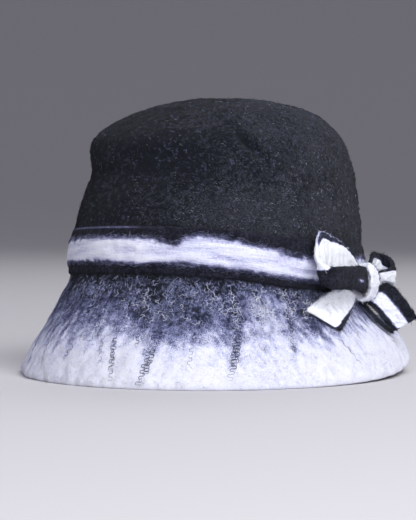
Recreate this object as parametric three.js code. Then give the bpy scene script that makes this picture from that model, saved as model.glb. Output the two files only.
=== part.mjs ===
import * as THREE from "three";

// A hand-felted cloche: a bucket crown and a flared brim in one seamless piece of wool felt, a ribbon of
// two-tone felt round the foot of the crown, and a bow of the same ribbon over the wearer's left ear.
// Millimetres, +Z up. The front of the hat is -Y and the wearer's left is +X. The rim rests on z = 0.
// An azimuth is counted in degrees from the front towards the wearer's left.

// Driving dimensions
const feltWall = 2.8;
const rimWall = 3.6; // the rim is felted thicker than the rest
const rimFoot = 2.2; // width of the rim's flattened underside
const rimRound = 1.3; // height of the rounding between the underside and the brim's faces
const pieceGap = 0.3; // clear space between neighbouring pieces
const ribbonWall = 3;
const widthShare = 0.965; // half-width of the oval against its reach
const lengthShare = 1.135; // half-length of the oval against its reach
const bowAzimuth = 97;
const bowLevel = 57; // height of the middle of the knot
const knotHeight = 22.6;
const knotDepth = 13.4;
const knotWidth = 19;
const knotWall = 2.2; // the ribbon is drawn thin round the knot
const knotStations = 12;
const hatShiftX = -0.8; // brings the middle of the box, bow included, over the origin

// How finely the faces are divided
const feltSides = 64;
const ribbonCorners = 10;
const loopSteps = 26;
const tailSteps = 12;
const knotSteps = 22;

// Sections of the felt, from the middle of the crown down to the rim. reach sets the oval's size, level is
// its height at the sides, dip is how much higher it lies in front and lower behind, shiftX and shiftY
// place its middle, and rows is how many rows of faces come down to it from the section before. The ribbon
// runs from the section ribbonTop to the section ribbonFoot.
const sections = [
  { name: "apex", reach: 0, level: 168, dip: 0, shiftX: 4, shiftY: 5, rows: 0 },
  { name: "innerTop", reach: 22, level: 167.2, dip: 0, shiftX: 4.3, shiftY: 5, rows: 1 },
  { name: "outerTop", reach: 42, level: 163, dip: 0, shiftX: 4.6, shiftY: 5, rows: 2 },
  { name: "upperShoulder", reach: 57, level: 157.6, dip: 0, shiftX: 3.4, shiftY: 4.6, rows: 2 },
  { name: "shoulder", reach: 68.6, level: 150.3, dip: 0, shiftX: 1, shiftY: 3.5, rows: 2 },
  { name: "lowerShoulder", reach: 77, level: 141.8, dip: 0, shiftX: 0.2, shiftY: 2.2, rows: 2 },
  { name: "neck", reach: 80.2, level: 131, dip: 0.5, shiftX: 1.2, shiftY: 2.2, rows: 1 },
  { name: "upperWall", reach: 81.2, level: 120, dip: 1.5, shiftX: 3.2, shiftY: 2.3, rows: 1 },
  { name: "wall", reach: 83.4, level: 109, dip: 3.5, shiftX: 2.4, shiftY: 2.1, rows: 1 },
  { name: "lowerWall", reach: 86, level: 97.5, dip: 6, shiftX: 1.6, shiftY: 2, rows: 1 },
  { name: "ribbonTop", reach: 88, level: 82, dip: 9, shiftX: 0.6, shiftY: 2, rows: 1 },
  { name: "ribbonMiddle", reach: 88.5, level: 68, dip: 9, shiftX: -0.4, shiftY: 2, rows: 2 },
  { name: "ribbonFoot", reach: 88, level: 54, dip: 9, shiftX: -1.8, shiftY: 2, rows: 2 },
  { name: "upperBrim", reach: 94, level: 41, dip: 6.8, shiftX: -2.6, shiftY: 1, rows: 2 },
  { name: "middleBrim", reach: 102, level: 28, dip: 4.6, shiftX: -1.2, shiftY: 0, rows: 1 },
  { name: "lowerBrim", reach: 111.8, level: 15, dip: 2.3, shiftX: -0.2, shiftY: 0, rows: 1 },
  { name: "rim", reach: 119.6, level: rimRound, dip: 0, shiftX: 0.6, shiftY: 0, rows: 2 },
];

// Dents and folds pressed into the felt: where the middle lies, half its length and half its width, its
// depth, and how far its length leans from upright towards the wearer's left.
const dents = [
  { name: "shoulderCrease", azimuth: 44, level: 138, length: 11, width: 2.8, depth: 4.4, lean: -46 },
  { name: "frontHollow", azimuth: 6, level: 129, length: 24, width: 14, depth: 4.2, lean: 76 },
  { name: "sidePinch", azimuth: -63, level: 124, length: 9, width: 30, depth: 1.2, lean: 0 },
  { name: "brimFoldRight", azimuth: 2, level: 30, length: 26, width: 4, depth: 1.1, lean: 6 },
  { name: "brimFoldMiddle", azimuth: 33, level: 30, length: 28, width: 4, depth: 1.3, lean: -6 },
  { name: "backSwell", azimuth: 134, level: 24, length: 50, width: 14, depth: -7, lean: 90 },
  { name: "brimFoldLeft", azimuth: 53, level: 26, length: 24, width: 4, depth: 1.0, lean: 4 },
];

// The rim lifts a little off the ground behind the bow.
const rimLift = { azimuth: 150, spread: 44, height: 11, fadesAt: 32 };

// The bow draws the ribbon, and the felt under it, down a little on its front side.
const ribbonSag = { azimuth: 68, spread: 24, level: 64, reach: 26, height: -4 };

const radians = THREE.MathUtils.degToRad;
const lastSection = sections.length - 1;
const sectionAt = (name) => sections.findIndex((section) => section.name === name) / lastSection;
const ribbonTop = sectionAt("ribbonTop");
const ribbonFoot = sectionAt("ribbonFoot");

const smooth = (points) => new THREE.CatmullRomCurve3(points, false, "catmullrom", 0.5);
const profile = smooth(sections.map((s) => new THREE.Vector3(s.reach, s.level, s.dip)));
const middles = smooth(sections.map((s) => new THREE.Vector3(s.shiftX, s.shiftY, 0)));

// A bell curve, and the same round the hat about a given azimuth.
const bellShape = (distance) => Math.exp(-distance * distance);
const bell = (azimuth, { azimuth: middle, spread }) =>
  bellShape((THREE.MathUtils.euclideanModulo(azimuth - middle + 180, 360) - 180) / spread);

// A point on the felt's outer face without its dents. down runs from 0 at the apex to 1 at the rim.
function smoothFelt(down, azimuth) {
  const { x: reach, y: level, z: dip } = profile.getPoint(down);
  const middle = middles.getPoint(down);
  const angle = radians(azimuth);
  const lift = rimLift.height * Math.max(0, 1 - level / rimLift.fadesAt) * bell(azimuth, rimLift);
  const sag = ribbonSag.height * bell(azimuth, ribbonSag) * bellShape((level - ribbonSag.level) / ribbonSag.reach);
  return new THREE.Vector3(
    middle.x + Math.max(reach, 0) * widthShare * Math.sin(angle),
    middle.y - Math.max(reach, 0) * lengthShare * Math.cos(angle),
    level + dip * Math.cos(angle) + lift + sag,
  );
}

// The direction square to the felt there, away from the head.
function outward(down, azimuth) {
  const step = 0.004;
  const alongRow = smoothFelt(down, azimuth + 0.5).sub(smoothFelt(down, azimuth - 0.5));
  const downRow = smoothFelt(Math.min(down + step, 1), azimuth).sub(smoothFelt(down - step, azimuth));
  return downRow.cross(alongRow).normalize();
}

// How far the dents press the felt in at a place on it: each falls off as a bell from its middle.
function dentDepth(place, azimuth) {
  let depth = 0;
  for (const dent of dents) {
    const turn = THREE.MathUtils.euclideanModulo(azimuth - dent.azimuth + 180, 360) - 180;
    const aside = radians(turn) * Math.hypot(place.x, place.y);
    const above = place.z - dent.level;
    const lean = radians(dent.lean);
    const along = (above * Math.cos(lean) + aside * Math.sin(lean)) / dent.length;
    const across = (aside * Math.cos(lean) - above * Math.sin(lean)) / dent.width;
    depth += dent.depth * bellShape(along) * bellShape(across);
  }
  return depth;
}

// A point at a distance off the felt's outer face: outside it when clear is positive.
function overFelt(down, azimuth, clear) {
  const place = smoothFelt(down, azimuth);
  return place.addScaledVector(outward(down, azimuth), clear - dentDepth(place, azimuth));
}

// The same, found by its height instead: halving the stretch of wall between shoulder and rim.
function besideFelt(azimuth, level, clear) {
  let high = sectionAt("shoulder");
  let low = 1;
  for (let turn = 0; turn < 30; turn += 1) {
    const middle = (high + low) / 2;
    if (overFelt(middle, azimuth, clear).z > level) high = middle;
    else low = middle;
  }
  return overFelt((high + low) / 2, azimuth, clear);
}

// A closed mesh from rings of points. Each ring runs the same way round, and the rings follow on; a ring of
// one point is a tip. joined brings the last ring back to the first.
function meshFromRings(rings, joined = false) {
  const positions = [];
  const starts = [];
  for (const ring of rings) {
    starts.push(positions.length / 3);
    for (const point of ring) positions.push(point.x, point.y, point.z);
  }
  const faces = [];
  const pairs = joined ? rings.length : rings.length - 1;
  for (let row = 0; row < pairs; row += 1) {
    const next = (row + 1) % rings.length;
    const sides = Math.max(rings[row].length, rings[next].length);
    for (let side = 0; side < sides; side += 1) {
      const after = (side + 1) % sides;
      const corner = (which, index) => starts[which] + (rings[which].length === 1 ? 0 : index);
      if (rings[row].length > 1) faces.push(corner(row, side), corner(next, side), corner(row, after));
      if (rings[next].length > 1) faces.push(corner(row, after), corner(next, side), corner(next, after));
    }
  }
  const geometry = new THREE.BufferGeometry();
  geometry.setAttribute("position", new THREE.Float32BufferAttribute(positions, 3));
  geometry.setIndex(faces);
  geometry.computeVertexNormals();
  return geometry;
}

function ringRound(pointAt) {
  return Array.from({ length: feltSides }, (_, side) => pointAt((360 * side) / feltSides));
}

// The crown and brim: down the outer face, across the flat underside of the rim and up the inner face.
function feltBody() {
  const rows = sections.flatMap(({ rows: count }, section) =>
    Array.from({ length: count }, (_, row) => (section - 1 + (row + 1) / count) / lastSection),
  );
  const apex = smoothFelt(0, 0);
  const outer = rows.map((down) => ringRound((azimuth) => overFelt(down, azimuth, 0)));
  const inner = rows.map((down) => {
    const wall = THREE.MathUtils.lerp(feltWall, rimWall, THREE.MathUtils.smoothstep(down, 0.9, 1));
    return ringRound((azimuth) => overFelt(down, azimuth, -wall));
  });
  inner.at(-1).forEach((point, side) => {
    point.z = outer.at(-1)[side].z;
  });
  const sole = (inset) =>
    ringRound((azimuth) => {
      const edge = smoothFelt(1, azimuth);
      const centre = new THREE.Vector3(0, 0, edge.z);
      const inward = centre.sub(edge).setZ(0).normalize();
      return edge.addScaledVector(inward, inset).setZ(edge.z - rimRound);
    });
  const inset = (rimWall - rimFoot) / 2;
  return meshFromRings([
    [apex],
    ...outer,
    sole(inset),
    sole(inset + rimFoot),
    ...inner.reverse(),
    [apex.clone().setZ(apex.z - feltWall)],
  ]);
}

// The ribbon's section round the crown: across is the share of its width, out the share of its thickness.
const bandSection = [
  { across: 0, out: 0 },
  { across: 0, out: 0.28 },
  { across: 0.12, out: 0.5 },
  { across: 0.28, out: 0.95 },
  { across: 0.5, out: 1 },
  { across: 0.75, out: 1 },
  { across: 0.94, out: 0.85 },
  { across: 1, out: 0.4 },
  { across: 1, out: 0 },
  { across: 0.75, out: 0 },
  { across: 0.5, out: 0 },
  { across: 0.25, out: 0 },
];

function band() {
  const rings = bandSection.map(({ across, out }) =>
    ringRound((azimuth) => {
      const down = THREE.MathUtils.lerp(ribbonTop, ribbonFoot, across);
      return overFelt(down, azimuth, pieceGap + out * ribbonWall);
    }),
  );
  return meshFromRings(rings, true);
}

// A strip of ribbon along stations, each with its middle, the direction across the ribbon, its width there
// and its thickness. Its section is an oval with blunt corners.
function ribbonStrip(stations, steps, closed = false) {
  const curve = (pick) => new THREE.CatmullRomCurve3(stations.map(pick), closed, "catmullrom", 0.5);
  const path = curve((station) => station.middle);
  const sides = curve((station) => station.side);
  const sizes = curve((station) => new THREE.Vector3(station.width, station.wall, 0));
  const count = closed ? steps : steps + 1;
  const rings = Array.from({ length: count }, (_, step) => {
    const t = step / steps;
    const middle = path.getPoint(t);
    const forward = path.getTangent(t);
    const side = sides.getPoint(t).normalize();
    const face = forward.clone().cross(side).normalize();
    const { x: width, y: wall } = sizes.getPoint(t);
    return Array.from({ length: ribbonCorners }, (_, corner) => {
      const angle = (-2 * Math.PI * corner) / ribbonCorners;
      const blunt = (value) => Math.sign(value) * Math.abs(value) ** 0.55;
      return middle
        .clone()
        .addScaledVector(side, (blunt(Math.cos(angle)) * width) / 2)
        .addScaledVector(face, (blunt(Math.sin(angle)) * wall) / 2);
    });
  });
  if (closed) return meshFromRings(rings, true);
  return meshFromRings([[path.getPoint(0)], ...rings, [path.getPoint(1)]]);
}

// A place beside the felt: azimuth, height, and distance off the felt's outer face.
const at = (azimuth, level, clear) => ({ azimuth, level, clear });

// Stations of a strip from the places of its two edges.
function stationsBetween(rows) {
  return rows.map(({ upper, lower, wall }) => {
    const high = besideFelt(upper.azimuth, upper.level, upper.clear);
    const low = besideFelt(lower.azimuth, lower.level, lower.clear);
    const side = high.clone().sub(low);
    return { middle: high.add(low).divideScalar(2), side, width: side.length(), wall };
  });
}

// From the knot along the half that lies on the hat, round the far end and back along the outer half, which
// is rolled up lengthwise.
const frontLoop = [
  { upper: at(96.4, 63.2, 8.6), lower: at(96.4, 51.2, 8.6), wall: 2.2 },
  { upper: at(92.6, 63.2, 8.6), lower: at(92.6, 51.6, 8.6), wall: 2.2 },
  { upper: at(88.5, 72, 7.4), lower: at(88.5, 57, 7.2), wall: 3 },
  { upper: at(81, 80.5, 6.8), lower: at(81, 59.5, 6.8), wall: 3 },
  { upper: at(73, 86, 6.8), lower: at(74.5, 61, 6.8), wall: 3 },
  { upper: at(67, 87.6, 8.6), lower: at(70, 61.5, 10), wall: 3.2 },
  { upper: at(64.8, 82, 12), lower: at(67.8, 58, 13.5), wall: 3.6 },
  { upper: at(66.4, 73, 15.5), lower: at(68, 55, 16.3), wall: 4.6 },
  { upper: at(70.5, 68, 17.2), lower: at(70.5, 53.5, 17.2), wall: 6.4 },
  { upper: at(78, 67.5, 16.4), lower: at(78, 52.5, 16.4), wall: 7 },
  { upper: at(85.5, 67.3, 14.2), lower: at(85.5, 51.4, 14.2), wall: 6.6 },
  { upper: at(89.6, 66, 12.9), lower: at(89.6, 51, 12.9), wall: 5.2 },
  { upper: at(92.4, 62.8, 12), lower: at(92.4, 51.8, 12), wall: 2.2 },
  { upper: at(96.4, 63, 12), lower: at(96.4, 51.4, 12), wall: 2.2 },
];

const backLoop = [
  { upper: at(97.8, 63, 8.6), lower: at(97.8, 51.4, 8.6), wall: 2.2 },
  { upper: at(101.6, 63.2, 8.5), lower: at(101.6, 52.6, 8.5), wall: 2.2 },
  { upper: at(106.5, 69.5, 7.4), lower: at(106.5, 55.5, 7.4), wall: 3 },
  { upper: at(112.5, 73, 7.2), lower: at(112.5, 53, 7.2), wall: 3 },
  { upper: at(118.5, 74, 8.6), lower: at(118.5, 52, 9), wall: 3 },
  { upper: at(121.8, 73, 13), lower: at(122.2, 52.2, 14.5), wall: 3 },
  { upper: at(119, 70.5, 18), lower: at(119.5, 53, 20), wall: 3.2 },
  { upper: at(112.5, 66, 20.4), lower: at(112, 55.2, 21), wall: 3.4 },
  { upper: at(107.5, 64.4, 18), lower: at(107.5, 56.6, 18.2), wall: 3.2 },
  { upper: at(104.6, 63.2, 13.4), lower: at(104.6, 56.6, 13.4), wall: 2.6 },
  { upper: at(102, 62.6, 12.1), lower: at(102, 53.8, 12.1), wall: 2.2 },
  { upper: at(97.8, 62.8, 12), lower: at(97.8, 51.8, 12), wall: 2.1 },
];

// The ends hang from under the knot: one lies on the brim towards the front, the other stands off it on edge.
const frontTail = [
  { upper: at(82.5, 55.4, 9), lower: at(90.8, 49.8, 7.6), wall: 3 },
  { upper: at(77.2, 52.6, 7.2), lower: at(90.2, 44.8, 4.4), wall: 3 },
  { upper: at(71, 48.2, 4), lower: at(85.6, 38.8, 2.8), wall: 3 },
  { upper: at(64.6, 42.4, 2.2), lower: at(76.2, 29.8, 2.1), wall: 3 },
];

const backTail = [
  { upper: at(103.4, 55.4, 17.6), lower: at(103, 45.6, 6), wall: 3 },
  { upper: at(104.8, 54.8, 22.8), lower: at(104.4, 41.9, 8.7), wall: 3 },
  { upper: at(106, 46.4, 23.2), lower: at(105.5, 34, 6.4), wall: 3 },
  { upper: at(107.5, 34.8, 20.5), lower: at(107, 26.3, 4.6), wall: 3 },
];

// The knot: ribbon wrapped once round the middle of the bow, in the upright plane that points out.
function knot() {
  const angle = radians(bowAzimuth);
  const side = new THREE.Vector3(Math.cos(angle), Math.sin(angle), 0);
  const out = new THREE.Vector3(Math.sin(angle), -Math.cos(angle), 0);
  const clear = pieceGap + ribbonWall + pieceGap + knotDepth / 2;
  const centre = besideFelt(bowAzimuth, bowLevel, clear);
  const stations = Array.from({ length: knotStations }, (_, station) => {
    const turn = (2 * Math.PI * station) / knotStations;
    const middle = centre
      .clone()
      .addScaledVector(out, ((knotDepth - knotWall) / 2) * Math.cos(turn))
      .setZ(centre.z + ((knotHeight - knotWall) / 2) * Math.sin(turn));
    return { middle, side, width: knotWidth, wall: knotWall };
  });
  return ribbonStrip(stations, knotSteps, true);
}

const pieces = [
  { name: "felt_body", shape: feltBody, color: 0x32353f },
  { name: "band", shape: band, color: 0xced2e5 },
  { name: "bow_knot", shape: knot, color: 0xd7dcec },
  { name: "bow_loop_front", shape: () => ribbonStrip(stationsBetween(frontLoop), loopSteps), color: 0xe4e8f4 },
  { name: "bow_loop_back", shape: () => ribbonStrip(stationsBetween(backLoop), loopSteps), color: 0xe4e8f4 },
  { name: "bow_tail_front", shape: () => ribbonStrip(stationsBetween(frontTail), tailSteps), color: 0xf0f3fc },
  { name: "bow_tail_back", shape: () => ribbonStrip(stationsBetween(backTail), tailSteps), color: 0xf0f3fc },
];

const hat = new THREE.Group();
hat.position.x = hatShiftX;
for (const { name, shape, color } of pieces) {
  const material = new THREE.MeshStandardMaterial({ color, roughness: 0.95, metalness: 0 });
  const mesh = new THREE.Mesh(shape(), material);
  mesh.name = name;
  hat.add(mesh);
}

const part = new THREE.Group();
part.add(hat);

export default part;
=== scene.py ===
# Hand-felted bucket hat: charcoal crown, brim fading to white, two-tone felt ribbon and bow.
import math
import bpy
import numpy as np
from mathutils import Matrix, Vector


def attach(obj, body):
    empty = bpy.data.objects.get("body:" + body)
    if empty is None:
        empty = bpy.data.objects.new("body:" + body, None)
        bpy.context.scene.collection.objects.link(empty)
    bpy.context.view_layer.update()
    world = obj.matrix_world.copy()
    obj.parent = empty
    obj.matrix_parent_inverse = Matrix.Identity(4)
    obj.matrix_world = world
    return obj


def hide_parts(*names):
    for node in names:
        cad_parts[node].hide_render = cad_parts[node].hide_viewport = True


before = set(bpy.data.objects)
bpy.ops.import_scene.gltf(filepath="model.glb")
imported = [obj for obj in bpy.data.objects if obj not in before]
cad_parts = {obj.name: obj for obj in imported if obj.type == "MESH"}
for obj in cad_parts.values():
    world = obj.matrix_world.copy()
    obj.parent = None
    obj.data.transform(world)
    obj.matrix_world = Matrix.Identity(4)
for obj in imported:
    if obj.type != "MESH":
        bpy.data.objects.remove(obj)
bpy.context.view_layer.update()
millimetre = 0.001

# Shape of the felt. Lengths are in millimetres until a mesh is made. An azimuth is counted in degrees from
# the front (-Y) towards the wearer's left (+X), and a row counts the sections below, 0 at the apex.
hatForm = {"middleX": -0.8, "widthShare": 0.965, "lengthShare": 1.135, "wall": 2.8, "rimWall": 3.6}
rimLift = {"azimuth": 150, "spread": 44, "height": 11, "fadesAt": 32}
ribbonSag = {"azimuth": 68, "spread": 24, "height": -4, "level": 64, "reach": 26}
# reach, level, dip, shiftX, shiftY
sections = np.array([
    (0, 168, 0, 4, 5),
    (22, 167.2, 0, 4.3, 5),
    (42, 163, 0, 4.6, 5),
    (57, 157.6, 0, 3.4, 4.6),
    (68.6, 150.3, 0, 1, 3.5),
    (77, 141.8, 0, 0.2, 2.2),
    (80.2, 131, 0.5, 1.2, 2.2),
    (81.2, 120, 1.5, 3.2, 2.3),
    (83.4, 109, 3.5, 2.4, 2.1),
    (86, 97.5, 6, 1.6, 2),
    (88, 82, 9, 0.6, 2),
    (88.5, 68, 9, -0.4, 2),
    (88, 54, 9, -1.8, 2),
    (94, 41, 6.8, -2.6, 1),
    (102, 28, 4.6, -1.2, 0),
    (111.8, 15, 2.3, -0.2, 0),
    (119.6, 1.3, 0, 0.6, 0),
])
shoulderRow, ribbonTopRow, ribbonFootRow, rimRow = 4, 10, 12, 16
# azimuth, level, half length, half width, depth, lean from upright
dents = [
    (44, 138, 11, 2.8, 4.4, -46),
    (6, 129, 24, 14, 4.2, 76),
    (-63, 124, 9, 30, 1.2, 0),
    (2, 30, 26, 4, 1.1, 6),
    (33, 30, 28, 4, 1.3, -6),
    (134, 24, 50, 14, -7, 90),
    (53, 26, 24, 4, 1.0, 4),
]


# A smooth curve through the rows of a table: each stretch is the cubic that leaves one row and reaches the
# next with the slope of the line between the rows on either side of it.
def alongTable(table, place):
    last = len(table) - 1
    whole = np.clip(np.floor(place).astype(int), 0, last - 1)
    part = (place - whole)[..., None]
    padded = np.vstack([2 * table[0] - table[1], table, 2 * table[-1] - table[-2]])
    before, start, finish, after = (padded[whole + k] for k in range(4))
    leave, reach = (finish - before) / 2, (after - start) / 2
    bend, twist = 3 * (finish - start) - 2 * leave - reach, 2 * (start - finish) + leave + reach
    return start + leave * part + bend * part**2 + twist * part**3


# A bell falls off as exp(-distance squared).
def bell(distance):
    return np.exp(-distance**2)


# 0 below low, 1 above high, and 3t squared less 2t cubed between them.
def smoothStep(value, low, high):
    t = np.clip((value - low) / (high - low), 0, 1)
    return t * t * (3 - 2 * t)


# Degrees from the middle to the azimuth, between -180 and 180.
def turnFrom(azimuth, middle):
    return (azimuth - middle + 180) % 360 - 180


# Felt without dents: the section's oval at that row, raised in front by its dip, with the lifted rim behind
# the bow and the ribbon drawn down before it.
def feltBase(row, azimuth):
    reach, level, dip, shiftX, shiftY = np.moveaxis(alongTable(sections, row), -1, 0)
    angle = np.radians(azimuth)
    reach = np.maximum(reach, 0)
    liftTurn = bell(turnFrom(azimuth, rimLift["azimuth"]) / rimLift["spread"])
    lift = rimLift["height"] * np.maximum(0, 1 - level / rimLift["fadesAt"]) * liftTurn
    sag = ribbonSag["height"] * bell(turnFrom(azimuth, ribbonSag["azimuth"]) / ribbonSag["spread"])
    sag = sag * bell((level - ribbonSag["level"]) / ribbonSag["reach"])
    x = shiftX + reach * hatForm["widthShare"] * np.sin(angle)
    y = shiftY - reach * hatForm["lengthShare"] * np.cos(angle)
    return np.stack([x, y, level + dip * np.cos(angle) + lift + sag], axis=-1)


# Each vector divided by its own length.
def unit(vectors):
    return vectors / np.maximum(np.linalg.norm(vectors, axis=-1, keepdims=True), 1e-9)


# Square to the felt: the cross product of a short step down it and a short step round it.
def outward(row, azimuth):
    row = np.maximum(row, 0.05)
    roundStep = feltBase(row, azimuth + 0.5) - feltBase(row, azimuth - 0.5)
    downStep = feltBase(np.minimum(row + 0.06, rimRow), azimuth) - feltBase(row - 0.04, azimuth)
    return unit(np.cross(downStep, roundStep))


# Soft random lumps: a sum of sine waves in random directions, each about one lump long.
def softLumps(points, lumpSize, seed, waves=26):
    rng = np.random.default_rng(seed)
    total = np.zeros(points.shape[:-1])
    for direction in unit(rng.normal(size=(waves, 3))):
        wave = direction * (2 * np.pi / (lumpSize * rng.uniform(0.7, 1.5)))
        total += np.sin(points @ wave + rng.uniform(0, 2 * np.pi))
    return total / math.sqrt(waves / 2)


# Dents press in as a bell along and across their lean.
def dentDepth(place, azimuth):
    depth = np.zeros(place.shape[:-1])
    for middle, level, length, width, deep, lean in dents:
        aside = np.radians(turnFrom(azimuth, middle)) * np.hypot(place[..., 0], place[..., 1])
        above = place[..., 2] - level
        c, s = math.cos(math.radians(lean)), math.sin(math.radians(lean))
        depth += deep * bell((above * c + aside * s) / length) * bell((aside * c - above * s) / width)
    return depth


# A point at a distance off the felt: the base, less its dent, along the way outward.
def overFelt(row, azimuth, clear):
    place = feltBase(row, azimuth)
    return place + outward(row, azimuth) * (clear - dentDepth(place, azimuth))[..., None]


# The row at a height, found by halving the wall between shoulder and rim 18 times.
def rowAtLevel(azimuth, level, clear=0.0):
    azimuth, level, clear = np.broadcast_arrays(azimuth, level, np.asarray(clear, float))
    high, low = np.full(azimuth.shape, float(shoulderRow)), np.full(azimuth.shape, float(rimRow))
    for _ in range(18):
        middle = (high + low) / 2
        above = overFelt(middle, azimuth, clear)[..., 2] > level
        high, low = np.where(above, middle, high), np.where(above, low, middle)
    return (high + low) / 2


# The point off the felt at that height.
def besideFelt(azimuth, level, clear):
    return overFelt(rowAtLevel(azimuth, level, clear), np.asarray(azimuth, float), np.asarray(clear, float))


# A grid's faces join each point to its neighbours, and a closed direction joins its last to its first.
def gridFaces(rows, columns, start=0, closedRows=False, closedColumns=True):
    r = np.arange(rows if closedRows else rows - 1)[:, None]
    c = np.arange(columns if closedColumns else columns - 1)[None, :]
    r2, c2 = (r + 1) % rows, (c + 1) % columns
    quads = np.stack([r * columns + c, r2 * columns + c, r2 * columns + c2, r * columns + c2], axis=-1)
    return quads.reshape(-1, 4) + start


# A ring of points joined to one tip, corner by corner.
def fanFaces(tip, first, count, flip=False):
    i = np.arange(count)
    a, b = first + i, first + (i + 1) % count
    return np.stack([np.full(count, tip), b, a] if flip else [np.full(count, tip), a, b], axis=-1)


# Points in millimetres become a mesh in metres at the origin, with its values and its ribbon map.
def makePiece(name, points, faceLists, material, nodes=(), values=None, uv=None):
    mesh = bpy.data.meshes.new(name)
    whole = np.asarray(points, float).reshape(-1, 3) + (hatForm["middleX"], 0, 0)
    faces = [face for faceList in faceLists for face in np.asarray(faceList).tolist()]
    mesh.from_pydata((whole * millimetre).tolist(), [], faces)
    for key, value in (values or {}).items():
        layer = mesh.attributes.new(key, "FLOAT", "POINT")
        layer.data.foreach_set("value", np.ascontiguousarray(value, dtype=np.float32).ravel())
    if uv is not None:
        layer = mesh.uv_layers.new(name="ribbonMap")
        corners = np.empty(len(mesh.loops), dtype=np.int32)
        mesh.loops.foreach_get("vertex_index", corners)
        layer.data.foreach_set("uv", np.asarray(uv, dtype=np.float32).reshape(-1, 2)[corners].ravel())
    mesh.polygons.foreach_set("use_smooth", np.ones(len(mesh.polygons), dtype=bool))
    mesh.materials.append(material)
    mesh.update()
    piece = bpy.data.objects.new(name, mesh)
    bpy.context.scene.collection.objects.link(piece)
    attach(piece, "root")
    if nodes:
        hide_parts(*nodes)
    print("made", name, len(mesh.polygons), "faces")
    return piece


# Materials are built from small helpers: each adds one node and gives its output.
def linkNodes(tree, pairs):
    for source, target in pairs:
        tree.links.new(source, target)


# Sets a node's sockets: a number is set on the socket itself, anything else is linked to it.
def feedNode(nodes, node, values):
    for key, value in values:
        if isinstance(value, (int, float)):
            node.inputs[key].default_value = value
        elif isinstance(value, tuple):
            node.inputs[key].default_value = (*value, 1)
        else:
            nodes.id_data.links.new(value, node.inputs[key])


def mathNode(nodes, operation, *values, clamp=False):
    node = nodes.new("ShaderNodeMath")
    node.operation = operation
    node.use_clamp = clamp
    feedNode(nodes, node, enumerate(values))
    return node.outputs[0]


def plus(nodes, first, second):
    return mathNode(nodes, "ADD", first, second)


def minus(nodes, first, second, clamp=False):
    return mathNode(nodes, "SUBTRACT", first, second, clamp=clamp)


def times(nodes, first, second):
    return mathNode(nodes, "MULTIPLY", first, second)


def stepNode(nodes, value, low, high):
    node = nodes.new("ShaderNodeMapRange")
    node.interpolation_type = "SMOOTHSTEP"
    feedNode(nodes, node, (("From Min", low), ("From Max", high), ("Value", value)))
    return node.outputs["Result"]


# Sockets 0, 6 and 7 of a Mix node are its share and its two colours.
def mixColour(nodes, share, first, second):
    node = nodes.new("ShaderNodeMix")
    node.data_type = "RGBA"
    feedNode(nodes, node, ((0, share), (6, first), (7, second)))
    return node.outputs[2]


def noiseNode(nodes, vector, scale, detail, roughness, distortion):
    node = nodes.new("ShaderNodeTexNoise")
    feedNode(nodes, node, (("Vector", vector), ("Scale", scale), ("Detail", detail),
                           ("Roughness", roughness), ("Distortion", distortion)))
    return node.outputs["Fac"]


# Loose curls follow the level lines of three noises: each row is a share of the fibres per metre and a level.
curlLines = ((0.36, 0.47), (0.47, 0.53), (0.29, 0.5))


# Wool grain gives fibre-sized and patch-sized variation, loose threads, and a height for the bump that is
# 0.45 of the fibre, 0.25 of the patch and 0.3 of the thread.
def buildWoolGrain():
    group = bpy.data.node_groups.new("woolGrain", "ShaderNodeTree")
    group.interface.new_socket("Vector", in_out="INPUT", socket_type="NodeSocketVector")
    for name in ("Fibres per metre", "Curl", "Thread width"):
        group.interface.new_socket(name, in_out="INPUT", socket_type="NodeSocketFloat")
    for name in ("Fibre", "Patch", "Thread", "Height"):
        group.interface.new_socket(name, in_out="OUTPUT", socket_type="NodeSocketFloat")
    nodes = group.nodes
    inputs, outputs = nodes.new("NodeGroupInput"), nodes.new("NodeGroupOutput")
    vector, perMetre, curl, width = inputs.outputs[:4]
    fine = noiseNode(nodes, vector, perMetre, 3.0, 0.62, curl)
    coarse = noiseNode(nodes, vector, times(nodes, perMetre, 0.17), 3.0, 0.55, 0.8)
    fibre = stepNode(nodes, fine, 0.28, 0.72)
    patch = stepNode(nodes, coarse, 0.3, 0.7)
    lines = []
    for share, level in curlLines:
        wave = noiseNode(nodes, vector, times(nodes, perMetre, share), 1.0, 0.5, times(nodes, curl, 0.6))
        off = mathNode(nodes, "ABSOLUTE", minus(nodes, wave, level))
        lines.append(minus(nodes, 1.0, mathNode(nodes, "DIVIDE", off, width), clamp=True))
    thread = mathNode(nodes, "MAXIMUM", mathNode(nodes, "MAXIMUM", lines[0], lines[1]), lines[2])
    height = plus(nodes, times(nodes, fibre, 0.45), times(nodes, patch, 0.25))
    height = plus(nodes, height, times(nodes, thread, 0.3))
    linkNodes(group, zip((fibre, patch, thread, height), outputs.inputs))
    return group


woolGrain = buildWoolGrain()
feltGloss = {"Specular IOR Level": 0.015, "Sheen Weight": 0.04, "Sheen Roughness": 0.6}


def startMaterial(name, sheen=feltGloss["Sheen Weight"], roughness=1.0):
    material = bpy.data.materials.new(name)
    material.use_nodes = True
    nodes = material.node_tree.nodes
    shader = nodes["Principled BSDF"]
    for key, value in {**feltGloss, "Sheen Weight": sheen, "Roughness": roughness}.items():
        shader.inputs[key].default_value = value
    return material, nodes, shader


# Places the wool grain, and gives its outputs by name.
def placeGrain(nodes, vector, perMetre, curl, threadWidth=0.02):
    node = nodes.new("ShaderNodeGroup")
    node.node_tree = woolGrain
    feedNode(nodes, node, (("Vector", vector), ("Fibres per metre", perMetre), ("Curl", curl),
                           ("Thread width", threadWidth)))
    return node.outputs


# Weighted sum of values, each counted from its middle of 0.5.
def sumNode(nodes, start, *terms):
    total = start
    for value, weight in terms:
        total = plus(nodes, total, times(nodes, minus(nodes, value, 0.5), weight))
    return total


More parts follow.
